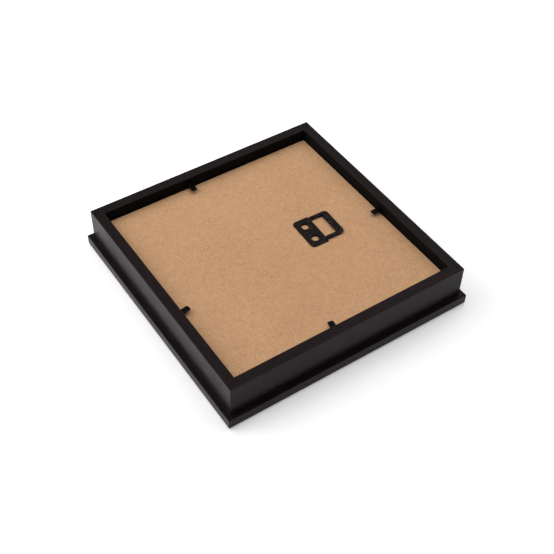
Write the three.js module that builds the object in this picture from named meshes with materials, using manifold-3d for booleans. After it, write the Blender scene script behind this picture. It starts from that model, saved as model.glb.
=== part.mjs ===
// A square shadow box with a mitred frame, lying on its front with its back up.
// Units are millimetres. The front face is on z = 0 and the back rim is the highest face.
// The rail on the +X side is the top one when the box hangs on a wall.
import * as THREE from 'three';
import { mergeVertices } from 'three/addons/utils/BufferGeometryUtils.js';
import Module from 'manifold-3d';

// Frame
const BOX_SIDE = 250; // across the deep walls, outside
const DEPTH = 46; // front face to back rim
const WALL = 10; // thickness of the deep walls, and width of the back rim
const LIP_PROJECTION = 5; // how far the front lip stands out past the walls
const LIP_HEIGHT = 12; // front face to the ledge
const RABBET = 5; // how far the lip reaches in under the glass
const RABBET_HEIGHT = 5; // front face to the seat of the glass
const FRONT_RADIUS = 2.5; // rounding of the outer front edge
const EDGE_RADIUS = 0.8; // rounding of the other edges
const FIT_GAP = 0.3; // clearance between neighbouring pieces
const ARC_STEPS = 4;

// Pieces stacked in the box, from the front to the back
const PANE_THICKNESS = 2;
const SPACER_THICKNESS = 4;
const SPACER_HEIGHT = 21.8;
const CARD_THICKNESS = 1;
const BOARD_THICKNESS = 3;
const PANE_PLAY = 0.75; // pane and spacers to the wall, on each side
const BOARD_PLAY = 1; // card and backboard to the wall, on each side

// Sawtooth hanger, stamped from one strip of steel
const HANGER_X = 32.05; // the middle of its plain end, measured from the centre of the box
const HANGER_Y = -1.6;
const HANGER_SKEW = THREE.MathUtils.degToRad(-1.8); // it was pressed in a little crooked
const HANGER_LENGTH = 37.9;
const HANGER_STEEL = 0.9;
const FOOT_LENGTH = 18.1; // the flat part that lies on the board
const FOOT_WIDTH = 37.5;
const BRIDGE_WIDTH = 33.5; // the raised part that holds the teeth
const BRIDGE_RISE = 1;
const BRIDGE_RAMP = 1.2; // run of the slope between the two parts
const HANGER_CORNER = 4;
const WINDOW_START = 18.3; // from the plain end
const WINDOW_LENGTH = 13.35;
const WINDOW_WIDTH = 25.4;
const TOOTH_COUNT = 7;
const TOOTH_PITCH = 3.5;
const TOOTH_DEPTH = 2.2;
const COLLAR_X = 9; // from the plain end
const COLLAR_SPACING = 17.8;
const COLLAR_INNER = 3.8;
const COLLAR_WALL = 0.6;
const COLLAR_REACH = 2; // how far a collar goes into the board
const CORE_RECESS = 0.6; // how far the board inside a collar is pressed down
const ROUND_SIDES = 32;

// Flexible tabs that keep the backboard in
const TAB_WIDTH = 6;
const TAB_STEEL = 0.6;
const TAB_ROOT = 6; // the length driven into the wall
const TAB_CORNER = 1.4;
const TAB_RISE = 4; // from the backboard to the middle of a tab

// V-shaped nails that hold the mitres together
const NAIL_LEG = 5.5;
const NAIL_STEEL = 0.6;
const NAIL_HEIGHT = 10;
const NAIL_HALF_ANGLE = THREE.MathUtils.degToRad(40);
const NAIL_SUNK = 0.4; // below the back rim

// Worked out from the dimensions above
const HALF_BOX = BOX_SIDE / 2;
const HALF_OPENING = HALF_BOX - WALL;
const HALF_PANE = HALF_OPENING - PANE_PLAY;
const HALF_BOARD = HALF_OPENING - BOARD_PLAY;
const PANE_Z = RABBET_HEIGHT + FIT_GAP;
const SPACER_Z = PANE_Z + PANE_THICKNESS + FIT_GAP;
const CARD_Z = SPACER_Z + SPACER_HEIGHT + FIT_GAP;
const BOARD_Z = CARD_Z + CARD_THICKNESS + FIT_GAP;
const BOARD_TOP = BOARD_Z + BOARD_THICKNESS;

// Each rail is drawn on the +X side and turned to its own side. A tab is placed by its distance
// along the rail, how far it reaches in from the wall, and its skew in degrees.
const SIDES = [
  { name: 'top', turn: 0, tab: { along: -14.9, reach: 10.7, skew: 2 } },
  { name: 'right', turn: 90, tab: { along: 22.2, reach: 11, skew: -2 } },
  { name: 'bottom', turn: 180, tab: { along: 25.3, reach: 10.7, skew: 8 } },
  { name: 'left', turn: 270, tab: { along: -11.35, reach: 11.1, skew: -8 } },
];

const CORNERS = [
  { name: 'top_right', turn: 45 },
  { name: 'bottom_right', turn: 135 },
  { name: 'bottom_left', turn: 225 },
  { name: 'top_left', turn: 315 },
];

const manifold = await Module();
manifold.setup();

// Solid from a closed geometry, for adding and subtracting.
function toSolid(geometry) {
  const bare = geometry.clone();
  bare.deleteAttribute('normal');
  bare.deleteAttribute('uv');
  const merged = mergeVertices(bare);
  return new manifold.Manifold(new manifold.Mesh({
    numProp: 3,
    vertProperties: Float32Array.from(merged.attributes.position.array),
    triVerts: Uint32Array.from(merged.index.array),
  }));
}

function toGeometry(solid) {
  const mesh = solid.getMesh();
  const geometry = new THREE.BufferGeometry();
  geometry.setAttribute('position', new THREE.BufferAttribute(mesh.vertProperties, 3));
  geometry.setIndex(new THREE.BufferAttribute(mesh.triVerts, 1));
  geometry.computeVertexNormals();
  return geometry;
}

function extrude(shape, depth) {
  return new THREE.ExtrudeGeometry(shape, {
    depth,
    bevelEnabled: false,
    curveSegments: ARC_STEPS,
  });
}

// Cross-section of a rail: x is the distance from the centre of the box, y the height.
function railProfile() {
  const outer = HALF_BOX + LIP_PROJECTION;
  const sight = HALF_OPENING - RABBET;
  const quarter = Math.PI / 2;
  const r = EDGE_RADIUS;
  const shape = new THREE.Shape();
  shape.moveTo(sight, RABBET_HEIGHT);
  shape.absarc(sight + r, r, r, 2 * quarter, 3 * quarter);
  shape.absarc(outer - FRONT_RADIUS, FRONT_RADIUS, FRONT_RADIUS, -quarter, 0);
  shape.absarc(outer - r, LIP_HEIGHT - r, r, 0, quarter);
  shape.lineTo(HALF_BOX, LIP_HEIGHT);
  shape.absarc(HALF_BOX - r, DEPTH - r, r, 0, quarter);
  shape.absarc(HALF_OPENING + r, DEPTH - r, r, quarter, 2 * quarter);
  shape.lineTo(HALF_OPENING, RABBET_HEIGHT);
  shape.closePath();
  return shape;
}

// The rail on the +X side. Both ends are stretched out to their 45 degree mitre planes.
function mitredRail() {
  const geometry = extrude(railProfile(), 2);
  geometry.translate(0, 0, -1);
  geometry.rotateX(Math.PI / 2);
  const setback = FIT_GAP / Math.SQRT2;
  const position = geometry.attributes.position;
  for (let i = 0; i < position.count; i += 1) {
    position.setY(i, position.getY(i) * (position.getX(i) - setback));
  }
  return geometry;
}

// A chevron whose point is at the origin and whose legs open towards +x, grown by a clearance.
function nailShape(grow) {
  const sin = Math.sin(NAIL_HALF_ANGLE);
  const cos = Math.cos(NAIL_HALF_ANGLE);
  const thickness = NAIL_STEEL + 2 * grow;
  const start = -grow / sin;
  const leg = NAIL_LEG + grow / Math.tan(NAIL_HALF_ANGLE) + grow;
  const end = new THREE.Vector2(start + leg * cos, leg * sin);
  const inner = new THREE.Vector2(end.x + thickness * sin, end.y - thickness * cos);
  return new THREE.Shape([
    new THREE.Vector2(start, 0),
    new THREE.Vector2(end.x, -end.y),
    new THREE.Vector2(inner.x, -inner.y),
    new THREE.Vector2(start + thickness / sin, 0),
    inner,
    end,
  ]);
}

// A corner nail, or with a clearance the pocket that it sits in.
function cornerNail(turn, grow) {
  const height = NAIL_HEIGHT + grow + (grow > 0 ? NAIL_SUNK + grow : 0);
  const geometry = extrude(nailShape(grow), height);
  const reach = NAIL_LEG * Math.cos(NAIL_HALF_ANGLE);
  const rimCentre = (HALF_BOX - WALL / 2) * Math.SQRT2;
  geometry.translate(rimCentre - reach / 2, 0, DEPTH - NAIL_SUNK - NAIL_HEIGHT - grow);
  geometry.rotateZ(THREE.MathUtils.degToRad(turn));
  return geometry;
}

// Plan of a tab in the wall on the +X side: a strip with a rounded tip, grown by a clearance.
function tabShape(tab, grow) {
  const root = TAB_ROOT + grow;
  const tip = -tab.reach - grow;
  const half = TAB_WIDTH / 2 + grow;
  const r = TAB_CORNER;
  const shape = new THREE.Shape();
  shape.moveTo(root, -half);
  shape.lineTo(root, half);
  shape.absarc(tip + r, half - r, r, Math.PI / 2, Math.PI);
  shape.absarc(tip + r, -half + r, r, Math.PI, 1.5 * Math.PI);
  shape.closePath();
  return shape;
}

// A tab, or with a clearance the slot that it is driven into.
function tabStrip(tab, grow) {
  const thickness = TAB_STEEL + 2 * grow;
  const geometry = extrude(tabShape(tab, grow), thickness);
  geometry.rotateZ(THREE.MathUtils.degToRad(tab.skew));
  geometry.translate(HALF_OPENING, tab.along, BOARD_TOP + TAB_RISE - thickness / 2);
  return geometry;
}

// A rail with its tab slot and its share of the two nail pockets cut out.
function railGeometry(side) {
  const pockets = [-45, 45].map((turn) => toSolid(cornerNail(turn, FIT_GAP)));
  const slot = toSolid(tabStrip(side.tab, FIT_GAP));
  const rail = toSolid(mitredRail());
  return toGeometry(rail.subtract(slot).subtract(pockets[0]).subtract(pockets[1]));
}

function plate(half, thickness, z) {
  const geometry = new THREE.BoxGeometry(2 * half, 2 * half, thickness);
  geometry.translate(0, 0, z + thickness / 2);
  return geometry;
}

// The spacers along the top and bottom run the full width, and the other two fit between them.
function spacerGeometry(side) {
  const between = side.turn % 180 !== 0;
  const half = between ? HALF_PANE - SPACER_THICKNESS - FIT_GAP : HALF_PANE;
  const geometry = new THREE.BoxGeometry(SPACER_THICKNESS, 2 * half, SPACER_HEIGHT);
  geometry.translate(HALF_PANE - SPACER_THICKNESS / 2, 0, SPACER_Z + SPACER_HEIGHT / 2);
  return geometry;
}

// Turns and moves a geometry drawn along the hanger's own centre line, from its plain end.
function placeOnBoard(geometry) {
  geometry.rotateZ(HANGER_SKEW);
  geometry.translate(HANGER_X, HANGER_Y, 0);
  return toSolid(geometry);
}

// An upright round bar at one of the two collars of the hanger.
function collarBar(radius, bottom, top, side) {
  const bar = new THREE.CylinderGeometry(radius, radius, top - bottom, ROUND_SIDES);
  bar.rotateX(Math.PI / 2);
  bar.translate(COLLAR_X, side * COLLAR_SPACING / 2, (bottom + top) / 2);
  return placeOnBoard(bar);
}

// The backboard, with a round groove for each collar and the core inside pressed down.
function backboardGeometry() {
  let board = toSolid(plate(HALF_BOARD, BOARD_THICKNESS, BOARD_Z));
  const groove = BOARD_TOP - COLLAR_REACH - FIT_GAP;
  const outer = COLLAR_INNER + COLLAR_WALL + FIT_GAP;
  for (const side of [-1, 1]) {
    const pocket = collarBar(outer, groove, BOARD_TOP + 1, side);
    const core = collarBar(COLLAR_INNER - FIT_GAP, BOARD_Z + 0.5, BOARD_TOP - CORE_RECESS, side);
    board = board.subtract(pocket).add(core);
  }
  return toGeometry(board);
}

// Side view of the hanger strip: x along it, y its height above the underside.
function hangerProfile() {
  const start = FOOT_LENGTH;
  const end = start + BRIDGE_RAMP;
  const steel = HANGER_STEEL;
  return new THREE.Shape([
    new THREE.Vector2(0, 0),
    new THREE.Vector2(start, 0),
    new THREE.Vector2(end, BRIDGE_RISE),
    new THREE.Vector2(HANGER_LENGTH, BRIDGE_RISE),
    new THREE.Vector2(HANGER_LENGTH, BRIDGE_RISE + steel),
    new THREE.Vector2(end, BRIDGE_RISE + steel),
    new THREE.Vector2(start, steel),
    new THREE.Vector2(0, steel),
  ]);
}

// Outline of the hanger from above: a wide foot and a narrower bridge, with round corners.
function hangerOutline() {
  const foot = FOOT_WIDTH / 2;
  const bridge = BRIDGE_WIDTH / 2;
  const r = HANGER_CORNER;
  const quarter = Math.PI / 2;
  const shape = new THREE.Shape();
  shape.absarc(r, -foot + r, r, 2 * quarter, 3 * quarter);
  shape.lineTo(FOOT_LENGTH, -foot);
  shape.lineTo(FOOT_LENGTH, -bridge);
  shape.absarc(HANGER_LENGTH - r, -bridge + r, r, -quarter, 0);
  shape.absarc(HANGER_LENGTH - r, bridge - r, r, 0, quarter);
  shape.lineTo(FOOT_LENGTH, bridge);
  shape.lineTo(FOOT_LENGTH, foot);
  shape.absarc(r, foot - r, r, quarter, 2 * quarter);
  shape.closePath();
  return shape;
}

// The window in the bridge, with a row of teeth pointing back along its far edge.
function hangerWindow() {
  const half = WINDOW_WIDTH / 2;
  const valley = WINDOW_START + WINDOW_LENGTH;
  const first = -(TOOTH_COUNT * TOOTH_PITCH) / 2;
  const points = [new THREE.Vector2(WINDOW_START, -half), new THREE.Vector2(valley, -half)];
  for (let i = 0; i < TOOTH_COUNT; i += 1) {
    const base = first + i * TOOTH_PITCH;
    points.push(new THREE.Vector2(valley, base));
    points.push(new THREE.Vector2(valley - TOOTH_DEPTH, base + TOOTH_PITCH / 2));
  }
  points.push(new THREE.Vector2(valley, first + TOOTH_COUNT * TOOTH_PITCH));
  points.push(new THREE.Vector2(valley, half));
  points.push(new THREE.Vector2(WINDOW_START, half));
  return new THREE.Shape(points);
}

function hangerGeometry() {
  const underside = BOARD_TOP + FIT_GAP;
  const strip = extrude(hangerProfile(), FOOT_WIDTH);
  strip.rotateX(Math.PI / 2);
  strip.translate(0, FOOT_WIDTH / 2, underside);
  const [outline, window] = [hangerOutline(), hangerWindow()].map((shape) => {
    const column = extrude(shape, 10);
    column.translate(0, 0, underside - 5);
    return placeOnBoard(column);
  });
  let hanger = placeOnBoard(strip).intersect(outline).subtract(window);
  const end = BOARD_TOP - COLLAR_REACH;
  for (const side of [-1, 1]) {
    const collar = collarBar(COLLAR_INNER + COLLAR_WALL, end, underside + HANGER_STEEL, side);
    const hole = collarBar(COLLAR_INNER, end - 1, underside + HANGER_STEEL + 1, side);
    hanger = hanger.add(collar).subtract(hole);
  }
  return toGeometry(hanger);
}

const material = (color, roughness, metalness, extra = {}) =>
  new THREE.MeshStandardMaterial({ color, roughness, metalness, ...extra });

const blackFoil = material(0x2b2829, 0.45, 0);
const fibreboard = material(0xc29871, 0.85, 0);
const blackSteel = material(0x1b1c20, 0.4, 0.6);
const brightSteel = material(0x8a8c8f, 0.35, 1);
const whiteCard = material(0xe9e6df, 0.9, 0);
const clearGlass = material(0xdfeae6, 0.05, 0, { transparent: true, opacity: 0.35 });

const shadowBox = new THREE.Group();

function addPart(name, geometry, finish, turn = 0) {
  const mesh = new THREE.Mesh(geometry, finish);
  mesh.name = name;
  mesh.rotation.z = THREE.MathUtils.degToRad(turn);
  shadowBox.add(mesh);
}

for (const side of SIDES) {
  addPart(`rail_${side.name}`, railGeometry(side), blackFoil, side.turn);
  addPart(`spacer_${side.name}`, spacerGeometry(side), whiteCard, side.turn);
  addPart(`flex_tab_${side.name}`, tabStrip(side.tab, 0), blackSteel, side.turn);
}

for (const corner of CORNERS) {
  addPart(`corner_nail_${corner.name}`, cornerNail(corner.turn, 0), brightSteel);
}

addPart('glass_pane', plate(HALF_PANE, PANE_THICKNESS, PANE_Z), clearGlass);
addPart('display_card', plate(HALF_BOARD, CARD_THICKNESS, CARD_Z), whiteCard);
addPart('backboard', backboardGeometry(), fibreboard);
addPart('sawtooth_hanger', hangerGeometry(), blackSteel);

export default shadowBox;
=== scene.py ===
"""The look of a square shadow box lying on its front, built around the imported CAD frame.

Units are metres. The back is up, and the rail on the +X side is the top one when the box hangs.
"""
import math

import bmesh
import bpy
from mathutils import Matrix, Vector


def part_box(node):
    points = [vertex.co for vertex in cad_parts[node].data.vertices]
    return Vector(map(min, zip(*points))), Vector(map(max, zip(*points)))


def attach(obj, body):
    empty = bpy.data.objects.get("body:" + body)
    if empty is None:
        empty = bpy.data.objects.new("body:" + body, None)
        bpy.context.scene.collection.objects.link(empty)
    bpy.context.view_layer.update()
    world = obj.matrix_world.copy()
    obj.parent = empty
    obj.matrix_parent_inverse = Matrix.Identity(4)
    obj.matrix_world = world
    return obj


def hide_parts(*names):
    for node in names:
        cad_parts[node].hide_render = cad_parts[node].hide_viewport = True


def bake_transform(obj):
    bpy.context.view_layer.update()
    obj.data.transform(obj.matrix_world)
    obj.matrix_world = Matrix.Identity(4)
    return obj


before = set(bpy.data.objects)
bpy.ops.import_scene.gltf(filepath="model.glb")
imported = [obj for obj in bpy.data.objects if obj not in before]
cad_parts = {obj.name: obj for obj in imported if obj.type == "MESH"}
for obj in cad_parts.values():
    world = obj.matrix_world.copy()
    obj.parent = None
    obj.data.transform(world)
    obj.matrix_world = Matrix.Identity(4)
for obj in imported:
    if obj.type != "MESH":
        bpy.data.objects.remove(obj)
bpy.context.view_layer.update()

MM = 0.001

# Sizes that the frame gives
RAIL_LOW, RAIL_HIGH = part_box("rail_top")
SIGHT = RAIL_LOW.x
LIP_OUTER = RAIL_HIGH.x
DEPTH = RAIL_HIGH.z
BOARD_LOW, BOARD_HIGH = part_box("backboard")
CARD_LOW, CARD_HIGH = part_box("display_card")
PANE_LOW, PANE_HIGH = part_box("glass_pane")
HANGER_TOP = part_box("sawtooth_hanger")[1].z

# Rail section
BOX_OUTER = LIP_OUTER - 5 * MM
OPENING = BOX_OUTER - 10 * MM
LEDGE = 12 * MM
RABBET = 5 * MM
FRONT_RADIUS = 2.5 * MM
FOIL_RADIUS = 0.6 * MM
MITRE_GAP = 0.03 * MM
MITRE_CHAMFER = 0.12 * MM

# How far a cut stands off the piece in it, and the least radius of an inset arc
CUT_CLEARANCE = 0.08 * MM
SHARPEST_RADIUS = 0.02 * MM

# Each side's turn about +Z, and its tab's place along the rail, reach and skew
SIDES = {
    "top": {"turn": 0, "along": -14.9 * MM, "reach": 10.7 * MM, "skew": 2},
    "right": {"turn": 90, "along": 22.2 * MM, "reach": 11 * MM, "skew": -2},
    "bottom": {"turn": 180, "along": 25.3 * MM, "reach": 10.7 * MM, "skew": 8},
    "left": {"turn": 270, "along": -11.35 * MM, "reach": 11.1 * MM, "skew": -8},
}
CORNERS = {"top_right": 45, "bottom_right": 135, "bottom_left": 225, "top_left": 315}


# ---------------------------------------------------------------- mesh helpers

def link(name, bm):
    """A scene object from a bmesh."""
    mesh = bpy.data.meshes.new(name)
    bmesh.ops.recalc_face_normals(bm, faces=bm.faces)
    bm.to_mesh(mesh)
    bm.free()
    obj = bpy.data.objects.new(name, mesh)
    bpy.context.scene.collection.objects.link(obj)
    return obj


def bake_modifiers(obj):
    """Applies obj's modifiers to its mesh."""
    bpy.context.view_layer.update()
    evaluated = obj.evaluated_get(bpy.context.evaluated_depsgraph_get())
    mesh = bpy.data.meshes.new_from_object(evaluated)
    mesh.name = obj.name
    obj.modifiers.clear()
    obj.data = mesh


def cut(obj, cutters):
    """Takes the cutters out of obj, and removes them."""
    for cutter in cutters:
        modifier = obj.modifiers.new("cut", "BOOLEAN")
        modifier.operation = "DIFFERENCE"
        modifier.solver = "EXACT"
        modifier.object = cutter
    bake_modifiers(obj)
    for cutter in cutters:
        bpy.data.objects.remove(cutter)


def smooth(obj):
    """Shades obj smooth over its rounded edges, while its large faces stay flat."""
    obj.data.shade_smooth()
    obj.data.set_sharp_from_angle(angle=math.radians(35))
    modifier = obj.modifiers.new("normals", "WEIGHTED_NORMAL")
    modifier.weight = 100
    modifier.keep_sharp = True
    bake_modifiers(obj)


def slice_along(obj, start, end, slices):
    """Cuts obj's faces across X at even steps from start to end, so that it can bend there."""
    bm = bmesh.new()
    bm.from_mesh(obj.data)
    for k in range(slices + 1):
        place = Vector((start + (end - start) * k / slices, 0, 0))
        geometry = [*bm.verts, *bm.edges, *bm.faces]
        bmesh.ops.bisect_plane(bm, geom=geometry, plane_co=place, plane_no=(1, 0, 0), dist=1e-7)
    bm.to_mesh(obj.data)
    bm.free()


def turned(obj, degrees):
    """Turns obj's mesh about +Z, and returns obj."""
    obj.data.transform(Matrix.Rotation(math.radians(degrees), 4, "Z"))
    return obj


def outline(corners, inward=0.0, arc_steps=6):
    """Points of a closed outline from its anticlockwise corners (x, y, radius), moved inwards.

    A corner with no radius gives one point, and any other an arc.
    """
    points = []
    for i, (x, y, radius) in enumerate(corners):
        here = Vector((x, y))
        before = (here - Vector(corners[i - 1][:2])).normalized()
        after = (Vector(corners[(i + 1) % len(corners)][:2]) - here).normalized()
        normals = Vector((-before.y - after.y, before.x + after.x))
        corner = here + inward * normals / (1 + before.dot(after))
        if radius == 0:
            points.append(corner)
            continue
        bend = math.copysign(before.angle(after), before.cross(after))
        reach = max(radius - math.copysign(inward, bend), SHARPEST_RADIUS)
        start = corner - before * reach * math.tan(abs(bend) / 2)
        spoke = Vector((before.y, -before.x)) * math.copysign(reach, bend)
        for step in range(arc_steps + 1):
            points.append(start - spoke + Matrix.Rotation(bend * step / arc_steps, 2) @ spoke)
    return points


def arc_wear(corners, arc_steps=6):
    """How worn each point of an outline is: most in the middle of the arc at an outer corner."""
    wear_and_shade = []
    for i, (x, y, radius) in enumerate(corners):
        here = Vector((x, y))
        before = here - Vector(corners[i - 1][:2])
        after = Vector(corners[(i + 1) % len(corners)][:2]) - here
        most = 1.0 if before.cross(after) > 0 else 0.0
        if radius == 0:
            wear_and_shade.append(most)
            continue
        wear_and_shade += [most * math.sin(math.pi * step / arc_steps) for step in range(arc_steps + 1)]
    return wear_and_shade


def at_height(points, z):
    return [Vector((p.x, p.y, z)) for p in points]


class Shape:
    """A bmesh made of walls through rings of points, with a map of wear and painted edge shade and a map
    of grain.
    """

    def __init__(self):
        self.bm = bmesh.new()
        self.wear_and_shade = self.bm.loops.layers.float.new("wear_and_shade")
        self.grain = self.bm.loops.layers.uv.new("grain")

    def wall(self, rings, wear_and_shade=None):
        """Joins rings of equal length, and returns the first and the last of them as vertices.

        The wear map has a row for each ring, with one value for each point; on the hanger it stands for
        painted edge shade.
        """
        size = len(rings[0])
        wear_and_shade = wear_and_shade or [[0.0] * size] * len(rings)
        verts = [[self.bm.verts.new(point) for point in ring] for ring in rings]
        around = [0.0]
        for i in range(size):
            around.append(around[-1] + (rings[0][(i + 1) % size] - rings[0][i]).length)
        for k in range(len(rings) - 1):
            for i in range(size):
                spots = ((k, i), (k, i + 1), (k + 1, i + 1), (k + 1, i))
                face = self.bm.faces.new([verts[row][column % size] for row, column in spots])
                for corner, (row, column) in zip(face.loops, spots):
                    corner[self.wear_and_shade] = wear_and_shade[row][column % size]
                    corner[self.grain].uv = (rings[row][column % size].y, around[column])
        return verts[0], verts[-1]

    def cap(self, *rings):
        """Fills the flat region between rings of vertices."""
        edges = [self.bm.edges.get((ring[i - 1], ring[i])) for ring in rings for i in range(len(ring))]
        bmesh.ops.triangle_fill(self.bm, edges=edges, use_beauty=True, use_dissolve=False)

    def link(self, name):
        return link(name, self.bm)


def loft(name, rings, wear_and_shade=None):
    """A closed body through rings of points, with a flat face at each end."""
    shape = Shape()
    first, last = shape.wall(rings, wear_and_shade)
    shape.cap(first)
    shape.cap(last)
    return shape.link(name)


def prism(name, points, bottom, top):
    return loft(name, [at_height(points, bottom), at_height(points, top)])


def rounded_edge(bottom, top, edge, fade, arc_steps=3):
    """Side of a plate from its lowest face to its highest: pairs (inward, height) and their wear, which
    the hanger's material turns into painted edge shade.
    """
    steps = [math.pi / 2 * step / arc_steps for step in range(arc_steps + 1)]
    lower = [(edge * (1 - math.sin(a)), bottom + edge * (1 - math.cos(a))) for a in steps]
    upper = [(inward, top - height + bottom) for inward, height in reversed(lower)]
    wear_and_shade_levels = [math.sin(2 * a) for a in steps]
    side = [(edge + fade, bottom), *lower, *upper, (edge + fade, top)]
    return side, [0.0, *wear_and_shade_levels, *reversed(wear_and_shade_levels), 0.0]


def plate_wall(shape, corners, side, wear_and_shade_levels, sign=1, arc_steps=6):
    """Adds the side of a plate round an outline, or with sign -1 round a window in it."""
    rings = [at_height(outline(corners, sign * inward, arc_steps), z) for inward, z in side]
    return shape.wall(rings, [[value] * len(rings[0]) for value in wear_and_shade_levels])


def plate(name, corners, bottom, top, edge, fade=0.3 * MM, arc_steps=6):
    """A flat plate with its upper and lower edges rounded."""
    shape = Shape()
    side, wear_and_shade_levels = rounded_edge(bottom, top, edge, fade)
    first, last = plate_wall(shape, corners, side, wear_and_shade_levels, 1, arc_steps)
    shape.cap(first)
    shape.cap(last)
    return shape.link(name)


# ---------------------------------------------------------------- materials

class Look:
    """A Principled material with short calls for the nodes that make its surface."""

    def __init__(self, name):
        self.material = bpy.data.materials.new(name)
        self.material.use_nodes = True
        self.nodes = self.material.node_tree.nodes
        self.links = self.material.node_tree.links
        self.shader = self.nodes["Principled BSDF"]

    def set(self, **values):
        for key, value in values.items():
            self.shader.inputs[key.replace("_", " ")].default_value = value
        return self

    def node(self, kind, **values):
        node = self.nodes.new(kind)
        for key, value in values.items():
            setattr(node, key, value)
        return node

    def place(self, stretch=(1, 1, 1), along_grain=False):
        """Texture coordinates in metres times stretch, in the object's axes or along its grain."""
        if along_grain:
            source = self.node("ShaderNodeUVMap", uv_map="grain").outputs["UV"]
        else:
            source = self.node("ShaderNodeTexCoord").outputs["Object"]
        mapping = self.node("ShaderNodeMapping")
        mapping.inputs["Scale"].default_value = stretch
        self.links.new(source, mapping.inputs["Vector"])
        return mapping.outputs["Vector"]

    def noise(self, where, scale, detail=4, roughness=0.55, distortion=0.0):
        node = self.node("ShaderNodeTexNoise")
        node.inputs["Scale"].default_value = scale
        node.inputs["Detail"].default_value = detail
        node.inputs["Roughness"].default_value = roughness
        node.inputs["Distortion"].default_value = distortion
        self.links.new(where, node.inputs["Vector"])
        return node.outputs["Fac"]

    def cells(self, where, scale, spread=1.0):
        node = self.node("ShaderNodeTexVoronoi", feature="F1")
        node.inputs["Scale"].default_value = scale
        node.inputs["Randomness"].default_value = spread
        self.links.new(where, node.inputs["Vector"])
        return node.outputs["Distance"]

    def ramp(self, value, *stops):
        node = self.node("ShaderNodeValToRGB")
        elements = node.color_ramp.elements
        while len(elements) < len(stops):
            elements.new(0.5)
        for element, (position, color) in zip(elements, stops):
            element.position = position
            element.color = (*color, 1) if len(color) == 3 else color
        self.links.new(value, node.inputs["Fac"])
        return node.outputs["Color"]

    def spread(self, value, low, high, to_low, to_high):
        node = self.node("ShaderNodeMapRange")
        for key, number in zip(("From Min", "From Max", "To Min", "To Max"), (low, high, to_low, to_high)):
            node.inputs[key].default_value = number
        self.links.new(value, node.inputs["Value"])
        return node.outputs["Result"]

    def attribute(self, name):
        return self.node("ShaderNodeAttribute", attribute_name=name).outputs["Fac"]

    def math(self, operation, first, second):
        node = self.node("ShaderNodeMath", operation=operation)
        for socket, value in zip(node.inputs, (first, second)):
            if isinstance(value, (int, float)):
                socket.default_value = value
            else:
                self.links.new(value, socket)
        return node.outputs["Value"]

    def mix(self, share, first, second, blend="MIX"):
        node = self.node("ShaderNodeMix", data_type="RGBA", blend_type=blend)
        for key, value in zip((0, 6, 7), (share, first, second)):
            if isinstance(value, (int, float)):
                node.inputs[key].default_value = value
            elif isinstance(value, tuple):
                node.inputs[key].default_value = (*value, 1)
            else:
                self.links.new(value, node.inputs[key])
        return node.outputs[2]

    def bump(self, height, strength, distance, after=None):
        node = self.node("ShaderNodeBump")
        node.inputs["Strength"].default_value = strength
        node.inputs["Distance"].default_value = distance
        self.links.new(height, node.inputs["Height"])
        if after is not None:
            self.links.new(after, node.inputs["Normal"])
        return node.outputs["Normal"]

    def feed(self, **sources):
        for key, source in sources.items():
            self.links.new(source, self.shader.inputs[key.replace("_", " ")])
        return self.material


def black_foil():
    look = Look("black_foil").set(IOR=1.175, Specular_Tint=(1.0, 0.7, 0.73, 1), Sheen_Weight=0.03,
                                 Sheen_Roughness=0.35, Sheen_Tint=(1.0, 0.5, 0.55, 1))
    grain = look.noise(look.place((60, 1300, 1), along_grain=True), 1.0, detail=5, distortion=0.6)
    cloud = look.noise(look.place(), 55, detail=3)
    peel = look.noise(look.place(), 1500, detail=3)
    wear_and_shade = look.attribute("wear_and_shade")
    tone = look.ramp(grain, (0.32, (0.0043, 0.0031, 0.0034)), (0.68, (0.0160, 0.0114, 0.0122)))
    tone = look.mix(look.math("MULTIPLY", wear_and_shade, 0.35), tone, (0.036, 0.030, 0.031))
    even = look.spread(cloud, 0.3, 0.7, 0.27, 0.33)
    rough = look.math("ADD", even, look.spread(grain, 0.3, 0.7, -0.03, 0.09))
    normal = look.bump(grain, 0.22, 0.02 * MM)
    normal = look.bump(peel, 0.14, 0.02 * MM, normal)
    return look.feed(Base_Color=tone, Roughness=rough, Normal=normal)


def inner_paint():
    look = Look("black_inner_paint").set(IOR=1.15)
    fibres = look.noise(look.place((300, 300, 900)), 1.0, detail=4)
    tone = look.ramp(fibres, (0.3, (0.0034, 0.0038, 0.0046)), (0.7, (0.0058, 0.0062, 0.0072)))
    rough = look.spread(fibres, 0.3, 0.7, 0.62, 0.78)
    return look.feed(Base_Color=tone, Roughness=rough, Normal=look.bump(fibres, 0.25, 0.03 * MM))


def fibreboard():
    look = Look("fibreboard").set(IOR=1.45, Specular_IOR_Level=0.3)
    space = look.place()
    blotch = look.noise(space, 150, detail=4, roughness=0.6)
    wide = look.noise(space, 22, detail=2)
    fibres = look.noise(look.place((620, 900, 900)), 1.0, detail=3, roughness=0.6, distortion=0.8)
    strands = look.noise(look.place((950, 600, 900)), 1.0, detail=3, roughness=0.6, distortion=0.8)
    specks = look.cells(space, 420)
    tone = look.ramp(
        look.math("ADD", look.math("MULTIPLY", blotch, 0.6), look.math("MULTIPLY", wide, 0.4)),
        (0.36, (0.500, 0.279, 0.142)),
        (0.50, (0.528, 0.300, 0.155)),
        (0.64, (0.556, 0.322, 0.168)),
    )
    tone = look.mix(look.spread(fibres, 0.50, 0.72, 0.0, 0.62), tone, (0.315, 0.163, 0.073))
    tone = look.mix(look.spread(strands, 0.50, 0.74, 0.0, 0.60), tone, (0.74, 0.475, 0.282))
    tone = look.mix(look.spread(specks, 0.07, 0.14, 0.6, 0.0), tone, (0.24, 0.12, 0.055))
    tone = look.mix(look.math("MULTIPLY", look.attribute("wear_and_shade"), 0.6), tone, (0.66, 0.47, 0.31))
    rough = look.spread(fibres, 0.3, 0.7, 0.78, 0.92)
    normal = look.bump(fibres, 0.25, 0.05 * MM)
    return look.feed(Base_Color=tone, Roughness=rough, Normal=normal)


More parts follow.
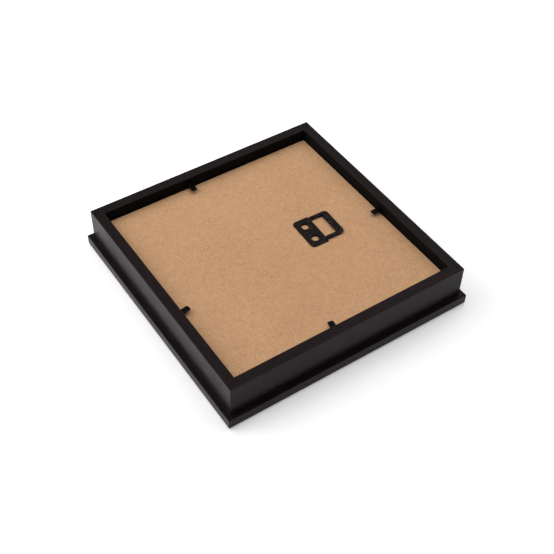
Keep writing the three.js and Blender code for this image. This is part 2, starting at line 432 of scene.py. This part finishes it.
def black_steel(name, ior, tones, edge_wear_and_shade_tone):
    """Blued steel: blue and brown patches, with its edges mixed to one edge tone: lighter rubbed wear on
    the tabs, darker painted shade on the hanger.
    """
    look = Look(name).set(IOR=ior)
    cloud = look.noise(look.place(), 230, detail=4, roughness=0.62)
    patch = look.noise(look.place(), 520, detail=3)
    grit = look.noise(look.place(), 5200, detail=2)
    tone = look.ramp(cloud, *zip((0.38, 0.50, 0.60), tones))
    # Edge mark: rubbed wear where the edge tone is lighter (tabs), painted shade where it is darker
    # (hanger edges and collar rims)
    edge_wear_and_shade = look.math("MULTIPLY", look.attribute("wear_and_shade"), look.spread(patch, 0.35, 0.65, 0.5, 1.0))
    tone = look.mix(edge_wear_and_shade, tone, edge_wear_and_shade_tone)
    rough = look.spread(patch, 0.3, 0.7, 0.30, 0.52)
    return look.feed(Base_Color=tone, Roughness=rough, Normal=look.bump(grit, 0.15, 0.02 * MM))


def nail_steel():
    look = Look("nail_steel").set(Metallic=0.6, IOR=1.3)
    streaks = look.noise(look.place((900, 900, 160)), 1.0, detail=4)
    tone = look.ramp(streaks, (0.3, (0.010, 0.010, 0.012)), (0.7, (0.026, 0.026, 0.030)))
    rough = look.spread(streaks, 0.3, 0.7, 0.4, 0.55)
    return look.feed(Base_Color=tone, Roughness=rough, Normal=look.bump(streaks, 0.2, 0.02 * MM))


def clear_glass():
    look = Look("clear_glass").set(Transmission_Weight=1.0, IOR=1.5, Specular_IOR_Level=0.5)
    haze = look.noise(look.place(), 30, detail=3)
    tone = look.ramp(haze, (0.3, (0.955, 0.975, 0.965)), (0.7, (0.975, 0.985, 0.98)))
    rough = look.spread(haze, 0.35, 0.75, 0.005, 0.02)
    return look.feed(Base_Color=tone, Roughness=rough)


def spacer_board():
    look = Look("spacer_board").set(IOR=1.45, Specular_IOR_Level=0.35)
    pulp = look.noise(look.place(), 900, detail=4, roughness=0.65)
    shade = look.noise(look.place(), 60, detail=2)
    tone = look.ramp(shade, (0.3, (0.77, 0.76, 0.72)), (0.7, (0.83, 0.82, 0.79)))
    rough = look.spread(pulp, 0.3, 0.7, 0.72, 0.86)
    return look.feed(Base_Color=tone, Roughness=rough, Normal=look.bump(pulp, 0.2, 0.03 * MM))


def display_paper():
    look = Look("display_paper").set(IOR=1.45, Specular_IOR_Level=0.3, Sheen_Weight=0.1)
    along = look.noise(look.place((260, 4200, 1)), 1.0, detail=3)
    across = look.noise(look.place((4200, 260, 1)), 1.0, detail=3)
    weave = look.math("ADD", along, across)
    shade = look.noise(look.place(), 40, detail=2)
    tone = look.ramp(shade, (0.3, (0.80, 0.775, 0.715)), (0.7, (0.85, 0.83, 0.78)))
    tone = look.mix(look.spread(weave, 0.8, 1.2, 0.22, 0.0), tone, (0.66, 0.63, 0.57))
    rough = look.spread(weave, 0.8, 1.2, 0.75, 0.9)
    return look.feed(Base_Color=tone, Roughness=rough, Normal=look.bump(weave, 0.4, 0.05 * MM))


FOIL = black_foil()
INNER_PAINT = inner_paint()
FIBREBOARD = fibreboard()
HANGER_TONES = ((0.0004, 0.0008, 0.0024), (0.0050, 0.0034, 0.0030), (0.0205, 0.0122, 0.0090))
TAB_TONES = ((0.0004, 0.0006, 0.0012), (0.0018, 0.0012, 0.0010), (0.0060, 0.0040, 0.0034))
# The hanger's edge tone is near black: painted shade along its edges and collar rims, where its side faces
# are in shadow
HANGER_BLACK = black_steel("black_steel", 1.2, HANGER_TONES, (0.0006, 0.0005, 0.0005))
TAB_BLACK = black_steel("tab_steel", 1.15, TAB_TONES, (0.0050, 0.0042, 0.0038))
NAIL_STEEL_LOOK = nail_steel()
GLASS = clear_glass()
SPACER = spacer_board()
PAPER = display_paper()


def dress(piece, material, body, slot, *nodes):
    """Gives a finished piece its material and body, and hides the CAD nodes that it stands for. slot is
    not used.
    """
    smooth(piece)
    piece.data.materials.append(material)
    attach(piece, body)
    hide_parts(*nodes)


# ---------------------------------------------------------------- flexible tabs

TAB_LOW, TAB_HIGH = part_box("flex_tab_top")
TAB_Z = (TAB_LOW.z + TAB_HIGH.z) / 2
TAB_WIDTH = 6 * MM
TAB_STEEL = 0.6 * MM
TAB_ROOT = 6 * MM
TAB_CORNER = 1.4 * MM
TAB_ROOT_CORNER = 0.3 * MM
TAB_EDGE = 0.12 * MM
BEND_START = 0.2 * MM
BEND_END = 2.4 * MM
BEND_SLICES = 12


def tab_corners(side, grow=0.0):
    """Plan of a tab in the wall on the +X side: a strip with a rounded tip, at its own skew."""
    root = TAB_ROOT + grow
    tip = -side["reach"] - grow
    half = TAB_WIDTH / 2 + grow
    turn = Matrix.Rotation(math.radians(side["skew"]), 2)
    wall = Vector((OPENING, side["along"]))
    plan = [
        (root, half, TAB_ROOT_CORNER), (tip, half, TAB_CORNER),
        (tip, -half, TAB_CORNER), (root, -half, TAB_ROOT_CORNER),
    ]
    return [(*(wall + turn @ Vector((x, y))), radius) for x, y, radius in plan]


def tab_slot(side):
    """A cutter for the slot that a tab stands in."""
    half = TAB_STEEL / 2 + CUT_CLEARANCE
    return prism("slot", outline(tab_corners(side, CUT_CLEARANCE)), TAB_Z - half, TAB_Z + half)


def make_tab(name, side):
    """A strip of thin steel with its root in the wall, its faces sliced across where the blade would bend.
    """
    half = TAB_STEEL / 2
    tab = plate(f"tab_{name}", tab_corners(side), TAB_Z - half, TAB_Z + half, TAB_EDGE, arc_steps=10)
    slice_along(tab, OPENING + BEND_START, OPENING - BEND_END, BEND_SLICES)
    smooth(tab)
    turned(tab, side["turn"])
    tab.data.materials.append(TAB_BLACK)
    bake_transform(tab)
    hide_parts(f"flex_tab_{name}")


# ---------------------------------------------------------------- corner nails

NAIL_LOW, NAIL_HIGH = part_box("corner_nail_top_right")
NAIL_LEG = 5.5 * MM
NAIL_STEEL = 0.6 * MM
NAIL_SPREAD = math.radians(40)
NAIL_CORNER = 0.15 * MM
NAIL_EDGE = 0.1 * MM
NAIL_FADE = 0.05 * MM


def nail_corners(grow=0.0, radius=0.0):
    """A chevron with its point nearest the centre of the box and its legs opening outwards."""
    sin, cos = math.sin(NAIL_SPREAD), math.cos(NAIL_SPREAD)
    thickness = NAIL_STEEL + 2 * grow
    start = -grow / sin
    leg = NAIL_LEG + grow / math.tan(NAIL_SPREAD) + grow
    end_x, end_y = start + leg * cos, leg * sin
    inner_x, inner_y = end_x + thickness * sin, end_y - thickness * cos
    shift = (BOX_OUTER + OPENING) / 2 * math.sqrt(2) - NAIL_LEG * cos / 2
    plan = [
        (start, 0), (end_x, -end_y), (inner_x, -inner_y),
        (start + thickness / sin, 0), (inner_x, inner_y), (end_x, end_y),
    ]
    return [(x + shift, y, radius) for x, y in plan]


def nail_slit(turn):
    """A cutter for the slit over a nail, open at the back rim."""
    slit = prism("slit", outline(nail_corners(CUT_CLEARANCE)), NAIL_LOW.z - CUT_CLEARANCE, DEPTH + MM)
    return turned(slit, turn)


def make_nail(name, turn):
    corners = nail_corners(0, NAIL_CORNER)
    nail = plate(f"corner_nail_{name}_steel", corners, NAIL_LOW.z, NAIL_HIGH.z, NAIL_EDGE, NAIL_FADE)
    turned(nail, turn)
    dress(nail, NAIL_STEEL_LOOK, "frame", "nail_steel", f"corner_nail_{name}")


# ---------------------------------------------------------------- rails

RAIL_STATIONS = 8
RAIL_ARC_STEPS = 8


def rail_corners():
    """Cross-section of a rail, anticlockwise: x is the distance from the centre, y the height."""
    return [
        (SIGHT, 0, FOIL_RADIUS),
        (LIP_OUTER, 0, FRONT_RADIUS),
        (LIP_OUTER, LEDGE, FOIL_RADIUS),
        (BOX_OUTER, LEDGE, 0.35 * MM),
        (BOX_OUTER, DEPTH, FOIL_RADIUS),
        (OPENING, DEPTH, FOIL_RADIUS),
        (OPENING, RABBET, 0.3 * MM),
        (SIGHT, RABBET, 0.3 * MM),
    ]


def mitre_ring(points, share, setback):
    """A section of a rail, share of the way from its middle to the mitre at either end."""
    return [Vector((p.x, share * (p.x - setback), p.y)) for p in points]


def make_rail(name, side):
    """A moulded rail with mitred ends, cut for its tab and for its share of the corner nails."""
    section = outline(rail_corners(), 0, RAIL_ARC_STEPS)
    tucked = outline(rail_corners(), MITRE_CHAMFER, RAIL_ARC_STEPS)
    setback = MITRE_GAP / math.sqrt(2)
    rings = [mitre_ring(tucked, -1, setback)]
    for k in range(RAIL_STATIONS + 1):
        rings.append(mitre_ring(section, 2 * k / RAIL_STATIONS - 1, MITRE_CHAMFER + setback))
    rings.append(mitre_ring(tucked, 1, setback))
    rail = loft(f"{name}_moulding", rings, [arc_wear(rail_corners(), RAIL_ARC_STEPS)] * len(rings))
    cut(rail, [tab_slot(side), nail_slit(45), nail_slit(-45)])
    smooth(rail)
    rail.data.materials.append(FOIL)
    rail.data.materials.append(INNER_PAINT)
    for polygon in rail.data.polygons:
        inside = polygon.center.x < OPENING + 0.1 * MM and RABBET < polygon.center.z < DEPTH - FOIL_RADIUS
        polygon.material_index = 1 if inside and abs(polygon.normal.x) > 0.5 else 0
    turned(rail, side["turn"])
    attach(rail, "frame")
    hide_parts(name)


# ---------------------------------------------------------------- glass, spacers and card

PANE_CORNER = 0.8 * MM
PANE_EDGE = 0.2 * MM
CARD_CORNER = 0.4 * MM
CARD_EDGE = 0.15 * MM


def square_corners(low, high, radius):
    places = ((low.x, low.y), (high.x, low.y), (high.x, high.y), (low.x, high.y))
    return [(x, y, radius) for x, y in places]


def make_pane():
    corners = square_corners(PANE_LOW, PANE_HIGH, PANE_CORNER)
    pane = plate("glazing", corners, PANE_LOW.z, PANE_HIGH.z, PANE_EDGE)
    dress(pane, GLASS, "frame", "clear_glass", "glass_pane")


def make_card():
    corners = square_corners(CARD_LOW, CARD_HIGH, CARD_CORNER)
    card = plate("display_card_paper", corners, CARD_LOW.z, CARD_HIGH.z, CARD_EDGE)
    dress(card, PAPER, "back_panel", "display_paper", "display_card")


def make_spacer(name):
    """A strip of lined board: two facings with the core set back a little between them."""
    low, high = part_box(f"spacer_{name}")
    size = high - low
    across = 0 if size.x < size.y else 1
    facing, groove, edge = 0.45 * MM, 0.12 * MM, 0.08 * MM
    thick, tall = size[across], size.z
    half_section = [(0, 0), (facing, 0), (facing + groove, groove), (thick - facing - groove, groove),
                    (thick - facing, 0), (thick, 0)]
    section = half_section + [(x, tall - y) for x, y in reversed(half_section)]
    corners = [(x, y, edge) for x, y in section]
    start, end = low[1 - across], high[1 - across]
    rings = []
    for along, inward in ((start, edge), (start + edge, 0), (end - edge, 0), (end, edge)):
        points = outline(corners, inward, arc_steps=2)
        ring = [Vector((low[across] + p.x, along, low.z + p.y)) for p in points]
        rings.append(ring if across == 0 else [Vector((p.y, p.x, p.z)) for p in ring])
    spacer = loft(f"spacer_{name}_strip", rings)
    dress(spacer, SPACER, "frame", "spacer_board", f"spacer_{name}")


# ---------------------------------------------------------------- backboard and hanger

COLLAR_INNER = 3.8 * MM
COLLAR_WALL = 0.6 * MM
COLLAR_ROLL = 0.3 * MM
COLLAR_REACH = 2 * MM
COLLAR_SPACING = 17.8 * MM
COLLAR_X = 9 * MM
COLLAR_SIDES = 56
CORE_RECESS = 0.9 * MM
CORE_BEVEL = 0.3 * MM
BOARD_CORNER = 0.6 * MM
BOARD_EDGE = 0.25 * MM
BOARD_FADE = 1.5 * MM
HANGER_LENGTH = 37.9 * MM
HANGER_STEEL = 0.9 * MM
HANGER_EDGE = 0.15 * MM
HANGER_SEAT = 0.05 * MM
FOOT_LENGTH = 18.1 * MM
FOOT_HALF = 18.75 * MM
FOOT_UNDER = BOARD_HIGH.z + HANGER_SEAT
FOOT_TOP = FOOT_UNDER + HANGER_STEEL
BRIDGE_HALF = 16.75 * MM
BRIDGE_RISE = HANGER_TOP - FOOT_TOP
RAMP = 1.2 * MM
RAMP_SLICES = 8
HANGER_CORNER = 4 * MM
WINDOW_START = 18.4 * MM
WINDOW_VALLEY = 31.65 * MM
WINDOW_HALF = 12.7 * MM
TOOTH_COUNT = 7
TOOTH_PITCH = 3.5 * MM
TOOTH_DEPTH = 2.2 * MM

# The hanger is drawn along its own centre line from its plain end, and sits a little crooked on the board
HANGER_PLACE = Matrix.Translation((32.05 * MM, -1.6 * MM, 0)) @ Matrix.Rotation(math.radians(-1.8), 4, "Z")


def ring_points(centre, radius, z, sides=COLLAR_SIDES):
    angles = [2 * math.pi * k / sides for k in range(sides)]
    return [Vector((centre.x + radius * math.cos(a), centre.y + radius * math.sin(a), z)) for a in angles]


def collar_centres():
    """Middles of the two collars, along the hanger's own centre line."""
    return [Vector((COLLAR_X, side * COLLAR_SPACING / 2, 0)) for side in (-1, 1)]


def make_backboard():
    """The board, with a groove for each collar and the fibres inside it pressed down a little."""
    corners = square_corners(BOARD_LOW, BOARD_HIGH, BOARD_CORNER)
    shape = Shape()
    side, wear_and_shade_levels = rounded_edge(BOARD_LOW.z, BOARD_HIGH.z, BOARD_EDGE, BOARD_FADE)
    first, last = plate_wall(shape, corners, side, wear_and_shade_levels)
    shape.cap(first)
    top = BOARD_HIGH.z
    floor = top - COLLAR_REACH - CUT_CLEARANCE
    core = top - CORE_RECESS
    outer = COLLAR_INNER + COLLAR_WALL + CUT_CLEARANCE
    inner = COLLAR_INNER - CUT_CLEARANCE
    mouths = []
    for centre in collar_centres():
        middle = HANGER_PLACE @ centre
        steps = [
            (outer, top), (outer, floor), (inner, floor),
            (inner, core - CORE_BEVEL / 2), (inner - CORE_BEVEL, core),
        ]
        mouth, core_rim = shape.wall([ring_points(middle, radius, z) for radius, z in steps])
        shape.cap(core_rim)
        mouths.append(mouth)
    shape.cap(last, *mouths)
    board = shape.link("backboard_sheet")
    dress(board, FIBREBOARD, "back_panel", "fibreboard", "backboard")


def hanger_corners():
    """Plan of the hanger: a wide foot and a narrower bridge, with round corners."""
    nick = 0.4 * MM
    near = [
        (0, -FOOT_HALF, HANGER_CORNER), (FOOT_LENGTH, -FOOT_HALF, nick),
        (FOOT_LENGTH, -BRIDGE_HALF, nick), (HANGER_LENGTH, -BRIDGE_HALF, HANGER_CORNER),
    ]
    return near + [(x, -y, radius) for x, y, radius in reversed(near)]


def window_corners():
    """The window in the bridge, with a row of teeth pointing back along its far edge."""
    sharp = 0.15 * MM
    first = -TOOTH_COUNT * TOOTH_PITCH / 2
    teeth = []
    for i in range(TOOTH_COUNT):
        teeth.append((WINDOW_VALLEY, first + i * TOOTH_PITCH, sharp))
        teeth.append((WINDOW_VALLEY - TOOTH_DEPTH, first + (i + 0.5) * TOOTH_PITCH, sharp))
    teeth.append((WINDOW_VALLEY, -first, sharp))
    near = [(WINDOW_START, -WINDOW_HALF, 0.5 * MM), (WINDOW_VALLEY, -WINDOW_HALF, 0.3 * MM)]
    return near + teeth + [(x, -y, radius) for x, y, radius in reversed(near)]


def collar_wall(shape, centre):
    """A pierced hole: the steel rolls over into a collar that goes down into the board."""
    roll = COLLAR_ROLL
    arc = [math.pi / 2 * step / 5 for step in range(6)]
    rolled = [(COLLAR_INNER + roll * (1 - math.sin(a)), FOOT_TOP - roll * (1 - math.cos(a))) for a in arc]
    end = BOARD_HIGH.z - COLLAR_REACH
    outer = COLLAR_INNER + COLLAR_WALL
    profile = [
        (COLLAR_INNER + 2 * roll, FOOT_TOP), *rolled, (COLLAR_INNER, end + 0.1 * MM),
        (COLLAR_INNER + 0.1 * MM, end), (outer, end), (outer, FOOT_UNDER),
    ]
    # The rolled rim gets the full edge mark, which the hanger's material darkens as painted shade of the
    # hole's shadowed wall
    wear_and_shade_levels = [0.0, 0.6, *[1.0] * (len(rolled) - 1), *[0.0] * (len(profile) - len(rolled) - 1)]
    rings = [ring_points(centre, radius, z) for radius, z in profile]
    return shape.wall(rings, [[value] * COLLAR_SIDES for value in wear_and_shade_levels])


def bend_up(obj):
    """Bends the strip across the ramp, which raises the bridge over the board."""
    slice_along(obj, FOOT_LENGTH, FOOT_LENGTH + RAMP, RAMP_SLICES)
    for vert in obj.data.vertices:
        share = min(max((vert.co.x - FOOT_LENGTH) / RAMP, 0.0), 1.0)
        vert.co.z += BRIDGE_RISE * share * share * (3 - 2 * share)


def make_hanger():
    """One strip of steel, stamped out with rounded edges and then bent into its raised bridge."""
    shape = Shape()
    side, wear_and_shade_levels = rounded_edge(FOOT_UNDER, FOOT_TOP, HANGER_EDGE, 0.3 * MM)
    lower_rim, upper_rim = plate_wall(shape, hanger_corners(), side, wear_and_shade_levels)
    lower_window, upper_window = plate_wall(shape, window_corners(), side, wear_and_shade_levels, -1, arc_steps=4)
    upper_mouths, lower_mouths = zip(*[collar_wall(shape, centre) for centre in collar_centres()])
    shape.cap(lower_rim, lower_window, *lower_mouths)
    shape.cap(upper_rim, upper_window, *upper_mouths)
    hanger = shape.link("hanger_strip")
    bend_up(hanger)
    hanger.data.transform(HANGER_PLACE)
    dress(hanger, HANGER_BLACK, "back_panel", "black_steel", "sawtooth_hanger")


# ---------------------------------------------------------------- stage

FLOOR_HALF = 8
FLOOR_WALL = 0.45
FAR_SCALE = 0.25  # the glow is full at 2.8 m


def make_floor():
    """A wide pale floor with a low wall round it, which glow more where the lights fall off."""
    points = outline([(-FLOOR_HALF, -FLOOR_HALF, 0), (FLOOR_HALF, -FLOOR_HALF, 0),
                      (FLOOR_HALF, FLOOR_HALF, 0), (-FLOOR_HALF, FLOOR_HALF, 0)])
    shape = Shape()
    foot, _ = shape.wall([at_height(points, 0), at_height(points, FLOOR_WALL)])
    shape.cap(foot)
    floor = shape.link("floor")
    look = Look("pale_floor").set(IOR=1.45, Specular_IOR_Level=0.1, Roughness=0.8,
                                  Emission_Color=(1, 1, 1, 1))
    cloud = look.noise(look.place(), 3, detail=2)
    tone = look.ramp(cloud, (0.3, (0.91, 0.91, 0.91)), (0.7, (0.93, 0.93, 0.93)))
    far = look.node("ShaderNodeTexGradient", gradient_type="SPHERICAL")
    look.links.new(look.place((FAR_SCALE,) * 3), far.inputs["Vector"])
    glow = look.spread(far.outputs["Fac"], 0.3, 0.8, 1.0, 0.28)
    floor.data.materials.append(look.feed(Base_Color=tone, Emission_Strength=glow))


def area_light(name, place, aim, size, power, color=(1, 1, 1)):
    light = bpy.data.lights.new(name, "AREA")
    light.shape = "RECTANGLE"
    light.size, light.size_y = size
    light.energy = power
    light.color = color
    obj = bpy.data.objects.new(name, light)
    obj.location = place
    obj.rotation_euler = (Vector(aim) - Vector(place)).to_track_quat("-Z", "Y").to_euler()
    bpy.context.scene.collection.objects.link(obj)


def make_lights():
    area_light("overhead", (0, 0, 1.8), (0, 0, 0), (1.6, 1.6), 15.9)
    area_light("behind", (1.5, 0.1, 1.3), (0, 0, 0), (1.4, 1.4), 9.3)
    area_light("behind_left", (0.95, 1.1, 1.3), (0, 0, 0), (1.4, 1.4), 4.6)
    area_light("left_far", (-0.5, 0.9, 0.9), (0, 0, 0), (1.0, 1.0), 4.9)
    area_light("left", (-1.3, 0.6, 1.2), (0, 0, 0), (1.4, 1.4), 14.8)
    world = bpy.data.worlds.new("studio")
    world.use_nodes = True
    world.node_tree.nodes["Background"].inputs["Color"].default_value = (1, 1, 1, 1)
    world.node_tree.nodes["Background"].inputs["Strength"].default_value = 0.01
    bpy.context.scene.world = world
    bpy.context.scene.view_settings.view_transform = "Standard"


CAMERA_PLACE = Vector((-0.3748, -0.54384, 0.71174))
CAMERA_AIM = Vector((-0.01135, -0.02409, 0.023))
CAMERA_ROLL = math.radians(1.603)
CAMERA_LENS = 65.71


def make_camera():
    data = bpy.data.cameras.new("camera")
    data.lens = CAMERA_LENS
    data.sensor_width = 36
    camera = bpy.data.objects.new("camera", data)
    look = (CAMERA_AIM - CAMERA_PLACE).to_track_quat("-Z", "Y").to_matrix().to_4x4()
    roll = Matrix.Rotation(CAMERA_ROLL, 4, "Z")
    camera.matrix_world = Matrix.Translation(CAMERA_PLACE) @ look @ roll
    bpy.context.scene.collection.objects.link(camera)
    bpy.context.scene.camera = camera


for side_name, side_values in SIDES.items():
    make_rail(f"rail_{side_name}", side_values)
    make_tab(side_name, side_values)
    make_spacer(side_name)
for corner_name, corner_turn in CORNERS.items():
    make_nail(corner_name, corner_turn)
make_pane()
make_card()
make_backboard()
make_hanger()
make_floor()
make_lights()
make_camera()
